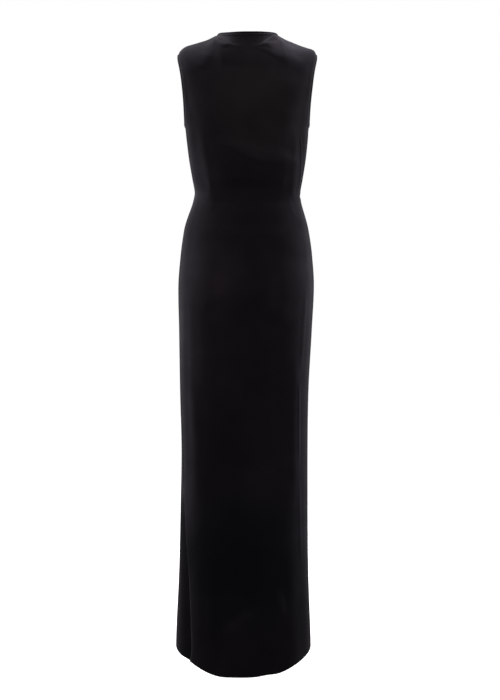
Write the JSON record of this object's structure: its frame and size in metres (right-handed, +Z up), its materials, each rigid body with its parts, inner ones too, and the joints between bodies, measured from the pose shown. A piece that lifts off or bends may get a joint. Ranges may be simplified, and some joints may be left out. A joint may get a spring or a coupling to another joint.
{
  "type": "maxi dress",
  "caption": "Sleeveless, high-necked, floor-length dress in near-black velvet, fitted to the hip, with a waist seam and a slit low in the left side seam.",
  "frame": {"origin": "between the two shoulder seams, level with the shoulders, where the wearer's shoulders hold the dress up", "axes": "+Z up, the front faces -Y, +X is the wearer's left"},
  "size_m": [0.3417, 0.2544, 1.52],
  "materials": {
    "velvet": "near-black stretch velvet with a short soft pile",
    "edge": "narrow rolled velvet binding"
  },
  "bodies": {
    "root": {"back_bodice": "velvet", "front_bodice": "velvet", "back_skirt": "velvet", "front_skirt": "velvet", "neck_binding": "edge", "left_armhole_binding": "edge", "right_armhole_binding": "edge"}
  },
  "joints": []
}
